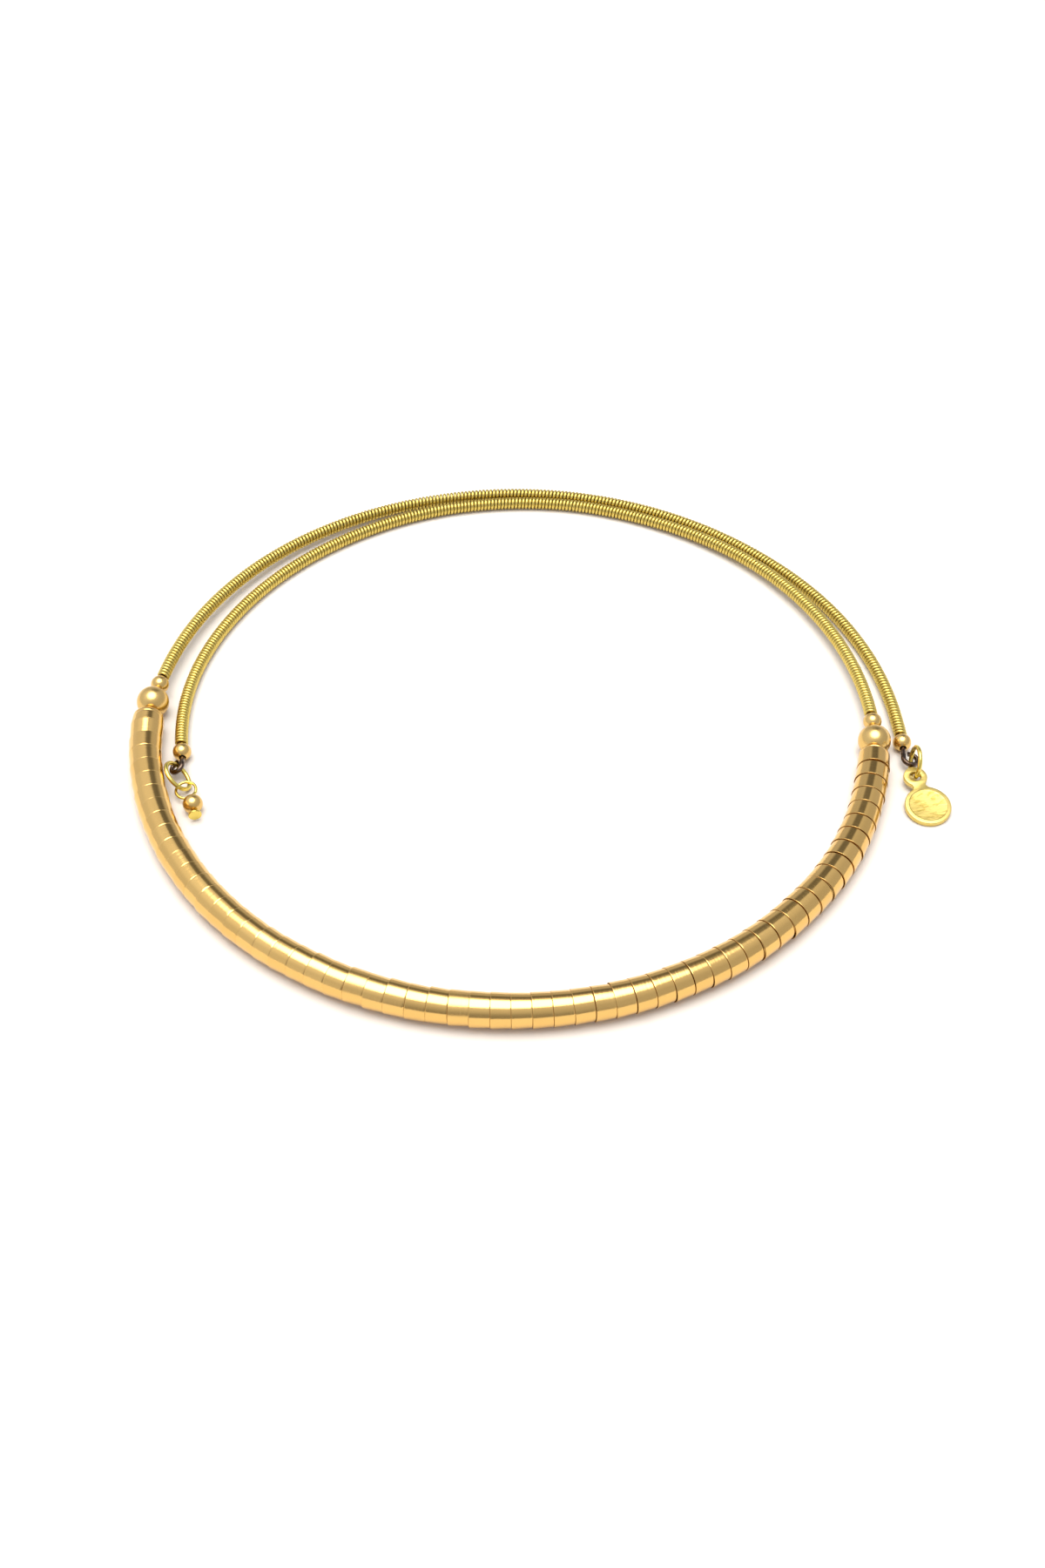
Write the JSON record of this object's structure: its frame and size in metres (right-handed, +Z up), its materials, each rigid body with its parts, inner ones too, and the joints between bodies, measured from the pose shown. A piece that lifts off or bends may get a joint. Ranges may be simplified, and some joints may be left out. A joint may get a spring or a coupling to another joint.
{
  "type": "memory wire wrap choker",
  "caption": "Open wrap choker of springy memory wire lying flat: nested gold cup beads at the front, close-wound brass coils round the back, a round tag on one end and a bead drop on the other.",
  "frame": {"origin": "centre of the outline seen from above, on the surface that the choker lies on", "axes": "+Z up from the surface, -Y towards the front of the throat where the cup beads lie, +X towards the end with the round tag"},
  "size_m": [0.1361, 0.129, 0.0059],
  "materials": {
    "dark_wire": "bronzed spring steel, smooth, half gloss",
    "coil_brass": "bright yellow brass wire, close wound",
    "cup_gold": "warm gold plating, polished",
    "bead_gold": "warm gold plating, polished",
    "link_brass": "bright yellow brass, polished",
    "tag_brass": "yellow brass, brushed field inside a polished rim"
  },
  "bodies": {
    "root": {"core_wire": "dark_wire", "outer_coil": "coil_brass", "inner_coil": "coil_brass", "scale_beads": "cup_gold", "big_bead_left": "bead_gold", "big_bead_right": "bead_gold", "small_bead_left": "bead_gold", "small_bead_right": "bead_gold", "outer_end_bead": "bead_gold", "inner_end_bead": "bead_gold", "tag_ring": "link_brass", "tag": "tag_brass", "oval_ring": "link_brass", "drop_pin": "link_brass", "drop_bead": "bead_gold"}
  },
  "joints": []
}
